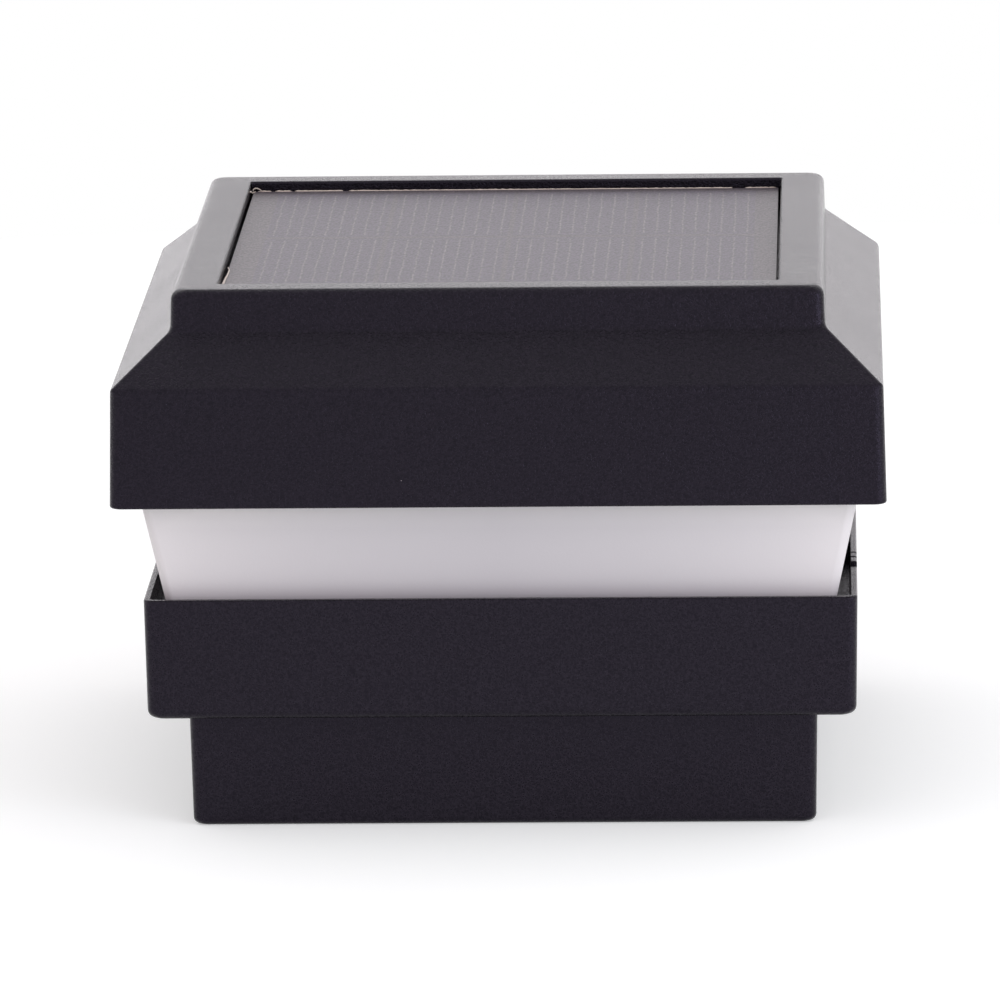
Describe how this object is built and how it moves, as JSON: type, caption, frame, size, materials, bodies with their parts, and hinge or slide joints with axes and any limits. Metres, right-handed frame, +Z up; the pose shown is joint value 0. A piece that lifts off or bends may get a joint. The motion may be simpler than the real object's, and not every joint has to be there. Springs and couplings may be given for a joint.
{
  "type": "deck post cap light",
  "caption": "Square solar cap light for a deck post: panel in a raised frame, sloping shoulder, frosted light band, stepped base and post adapter.",
  "frame": {"origin": "centre of the bottom edge, in the plane where the cap ends on the post", "axes": "+Z up along the post, +X to the right seen from the front, -Y to the front"},
  "size_m": [0.1148, 0.1148, 0.0819],
  "materials": {
    "black_plastic": "fine spark-eroded grain",
    "tray_plastic": "fine spark-eroded grain, softer than the head",
    "frosted_plastic": "frosted, lets light through",
    "panel_face": "textured clear sheet over the cells, matte",
    "cell": "crystalline silicon",
    "tinned": "bright tinned or nickel-plated metal",
    "panel_board": "dark laminate",
    "sealant": "cream silicone",
    "white_plastic": "plain moulded",
    "foam": "closed-cell foam",
    "screw_steel": "zinc-plated",
    "board": "green solder mask",
    "chip": "moulded epoxy",
    "inductor": "dipped, with colour bands",
    "capacitor": "printed sleeve",
    "lamp": "clear, with yellow phosphor",
    "red_wire": "plain insulation",
    "black_wire": "plain insulation",
    "knob": "moulded",
    "switch_can": "stamped",
    "cell_can": "nickel-plated",
    "battery_wrap": "shrink sleeve"
  },
  "bodies": {
    "adapter": {"post_adapter": "tray_plastic"},
    "base": {"base_tray": "tray_plastic", "diffuser_bowl": "frosted_plastic"},
    "head": {"head_housing": "black_plastic", "panel_sealant": "sealant", "panel_backing": "panel_board", "solar_cells": "cell", "cell_ribbons": "tinned", "panel_sheet": "panel_face", "wire_seal": "sealant", "panel_lead_red": "red_wire", "panel_lead_black": "black_wire", "under_cover": "white_plastic", "cover_gasket": "foam", "cover_screws": "screw_steel", "circuit_board": "board", "driver_chip": "chip", "inductor": "inductor", "capacitor": "capacitor", "board_screws": "screw_steel", "left_led": "lamp", "right_led": "lamp", "switch_body": "switch_can", "battery_cell": "cell_can", "battery_sleeve": "battery_wrap", "positive_contact": "tinned", "negative_contact": "tinned", "contact_spring": "tinned", "battery_lead_red": "red_wire", "battery_lead_black": "black_wire"},
    "switch": {"switch_knob": "knob"},
    "door": {"battery_door": "white_plastic", "door_seal": "foam", "door_screws": "screw_steel"}
  },
  "joints": [
    {"name": "base_lift", "type": "slide", "parent": "adapter", "child": "base", "axis": [0, 0, 1], "range_m": [0, 0.02]},
    {"name": "head_lift", "type": "slide", "parent": "base", "child": "head", "axis": [0, 0, 1], "range_m": [0, 0.04]},
    {"name": "switch_slide", "type": "slide", "parent": "head", "child": "switch", "axis": [1, 0, 0], "range_m": [0, 0.003]},
    {"name": "door_drop", "type": "slide", "parent": "head", "child": "door", "axis": [0, 0, -1], "range_m": [0, 0.016]}
  ]
}
